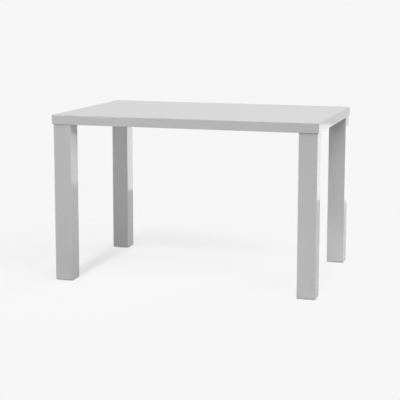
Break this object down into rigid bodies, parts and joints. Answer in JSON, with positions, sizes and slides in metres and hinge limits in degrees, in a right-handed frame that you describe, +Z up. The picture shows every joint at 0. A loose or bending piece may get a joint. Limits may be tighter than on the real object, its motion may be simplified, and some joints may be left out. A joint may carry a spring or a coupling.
{
  "type": "parsons dining table",
  "caption": "Rectangular dining table with a thick flat hollow-core top on square box legs flush under its corners, in high-gloss light grey lacquer.",
  "frame": {"origin": "on the floor, under the middle of the top", "axes": "+X along the table to its right end, +Y from its front to its back, +Z up"},
  "size_m": [1.2, 0.8, 0.75],
  "materials": {
    "grey_lacquer": "high-gloss lacquer",
    "bare_board": "bare sawn board",
    "beech": "bare turned beech",
    "kraft_paper": "bare brown paper",
    "black_steel": "satin black powder coat",
    "zinc_steel": "bright zinc plate",
    "black_plastic": "matt moulded plastic"
  },
  "bodies": {
    "root": {"top_skin": "grey_lacquer", "underside_skin": "grey_lacquer", "front_edge_rail": "grey_lacquer", "back_edge_rail": "grey_lacquer", "left_edge_rail": "grey_lacquer", "right_edge_rail": "grey_lacquer", "left_cross_rail": "bare_board", "right_cross_rail": "bare_board", "front_left_corner_block": "bare_board", "front_right_corner_block": "bare_board", "back_left_corner_block": "bare_board", "back_right_corner_block": "bare_board", "frame_dowels": "beech", "left_honeycomb_core": "kraft_paper", "centre_honeycomb_core": "kraft_paper", "right_honeycomb_core": "kraft_paper", "front_left_leg_front_board": "grey_lacquer", "front_left_leg_right_board": "grey_lacquer", "front_left_leg_back_board": "grey_lacquer", "front_left_leg_left_board": "grey_lacquer", "front_left_leg_head_block": "bare_board", "front_left_leg_middle_block": "bare_board", "front_left_leg_foot_block": "bare_board", "front_left_leg_plate": "black_steel", "front_left_leg_glide": "black_plastic", "front_right_leg_front_board": "grey_lacquer", "front_right_leg_right_board": "grey_lacquer", "front_right_leg_back_board": "grey_lacquer", "front_right_leg_left_board": "grey_lacquer", "front_right_leg_head_block": "bare_board", "front_right_leg_middle_block": "bare_board", "front_right_leg_foot_block": "bare_board", "front_right_leg_plate": "black_steel", "front_right_leg_glide": "black_plastic", "back_left_leg_front_board": "grey_lacquer", "back_left_leg_right_board": "grey_lacquer", "back_left_leg_back_board": "grey_lacquer", "back_left_leg_left_board": "grey_lacquer", "back_left_leg_head_block": "bare_board", "back_left_leg_middle_block": "bare_board", "back_left_leg_foot_block": "bare_board", "back_left_leg_plate": "black_steel", "back_left_leg_glide": "black_plastic", "back_right_leg_front_board": "grey_lacquer", "back_right_leg_right_board": "grey_lacquer", "back_right_leg_back_board": "grey_lacquer", "back_right_leg_left_board": "grey_lacquer", "back_right_leg_head_block": "bare_board", "back_right_leg_middle_block": "bare_board", "back_right_leg_foot_block": "bare_board", "back_right_leg_plate": "black_steel", "back_right_leg_glide": "black_plastic", "leg_bolts": "zinc_steel", "spring_washers": "zinc_steel", "flat_washers": "zinc_steel", "threaded_inserts": "zinc_steel", "plate_screws": "zinc_steel", "glide_screws": "zinc_steel"}
  },
  "joints": []
}
